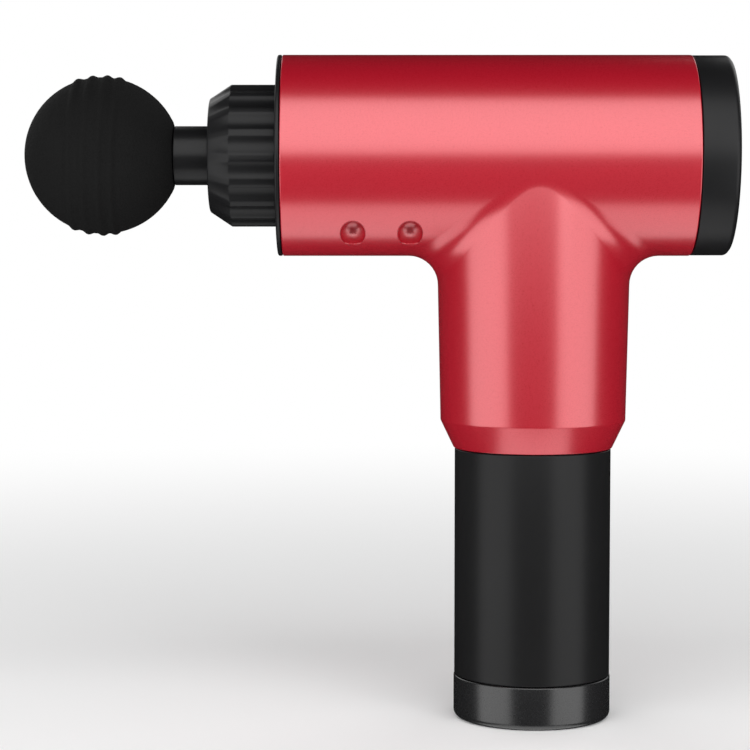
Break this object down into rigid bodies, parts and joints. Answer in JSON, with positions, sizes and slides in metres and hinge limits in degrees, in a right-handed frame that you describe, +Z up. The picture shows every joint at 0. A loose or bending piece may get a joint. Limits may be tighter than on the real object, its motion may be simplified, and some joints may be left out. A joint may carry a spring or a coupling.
{
  "type": "massage gun",
  "caption": "T-shaped cordless percussion massage gun with a ribbed ball head, fluted collar, perforated rear control panel and cylindrical battery handle.",
  "frame": {"origin": "centre of the handle's flat underside", "axes": "+Z up along the handle to the barrel, +X along the barrel towards the rear control panel (the ball head points to -X), +Y across the gun"},
  "size_m": [0.2281, 0.065, 0.2165],
  "materials": {
    "red_shell": "satin",
    "red_plug": "satin",
    "black_satin": "satin",
    "panel_black": "satin",
    "button_black": "satin",
    "stem_black": "satin",
    "black_gloss": "gloss",
    "cap_gloss": "satin",
    "grip_rubber": "matte",
    "black_rubber": "matte",
    "black_foam": "matte",
    "white_nylon": "satin",
    "cast_aluminium": "satin",
    "steel": "satin",
    "copper_wire": "satin",
    "nickel": "polished",
    "circuit_board": "satin",
    "cell_wrap": "satin",
    "lead_red": "satin",
    "red_light": "gloss"
  },
  "bodies": {
    "gun": {"housing": "red_shell", "screw_cover_1": "red_plug", "screw_cover_2": "red_plug", "screw_cover_3": "red_plug", "screw_cover_4": "red_plug", "frame_screw_1": "steel", "frame_screw_2": "steel", "frame_screw_3": "steel", "frame_screw_4": "steel", "front_plate": "black_satin", "nose_collar": "black_satin", "damper_ring_front": "black_rubber", "damper_ring_rear": "black_rubber", "rear_cap": "black_satin", "vent_panel": "panel_black", "light_guide": "red_light", "power_switch": "black_gloss", "control_board": "circuit_board", "dc_jack": "black_gloss", "dc_jack_ring": "nickel", "dc_pin": "nickel", "drive_frame": "cast_aluminium", "guide_sleeve": "white_nylon", "stator_core": "steel", "stator_windings": "copper_wire", "motor_bearing_lower": "steel", "motor_bearing_upper": "steel", "handle_tube": "black_gloss", "neck_ring": "black_rubber", "grip_sleeve": "grip_rubber", "end_cap": "cap_gloss", "battery_cell_1": "cell_wrap", "battery_cell_2": "cell_wrap", "battery_cell_3": "cell_wrap", "battery_cell_4": "cell_wrap", "battery_cell_5": "cell_wrap", "battery_cell_6": "cell_wrap", "cell_holder_lower": "white_nylon", "cell_holder_middle": "white_nylon", "cell_holder_upper": "white_nylon", "battery_board": "circuit_board", "battery_lead": "lead_red", "motor_lead": "black_rubber"},
    "motor_rotor": {"rotor_bell": "steel", "magnet_ring": "nickel", "motor_shaft": "steel", "crank_disc": "steel"},
    "plunger_assembly": {"plunger": "cast_aluminium", "wrist_pin": "steel"},
    "rod": {"connecting_rod": "cast_aluminium", "rod_bearing": "steel", "crank_pin": "steel"},
    "ball_head": {"head_stem": "stem_black", "stem_ring": "black_rubber", "massage_ball": "black_foam"},
    "button": {"power_button": "button_black"}
  },
  "joints": [
    {"name": "motor_spin", "type": "hinge", "parent": "gun", "child": "motor_rotor", "pos_m": [0, 0, 0.16], "axis": [0, 0, 1], "continuous": true},
    {"name": "percussion_slide", "type": "slide", "parent": "gun", "child": "plunger_assembly", "axis": [-1, 0, 0], "range_m": [0, 0.01]},
    {"name": "rod_swing", "type": "hinge", "parent": "plunger_assembly", "child": "rod", "pos_m": [-0.045, 0, 0.184], "axis": [0, 0, 1], "range_deg": [-5.74, 5.74]},
    {"name": "head_pull", "type": "slide", "parent": "plunger_assembly", "child": "ball_head", "axis": [-1, 0, 0], "range_m": [0, 0.04]},
    {"name": "power_press", "type": "slide", "parent": "gun", "child": "button", "axis": [-1, 0, 0], "range_m": [0, 0.0008], "stiffness_N_per_m": 1500, "springref_m": -0.0002}
  ]
}
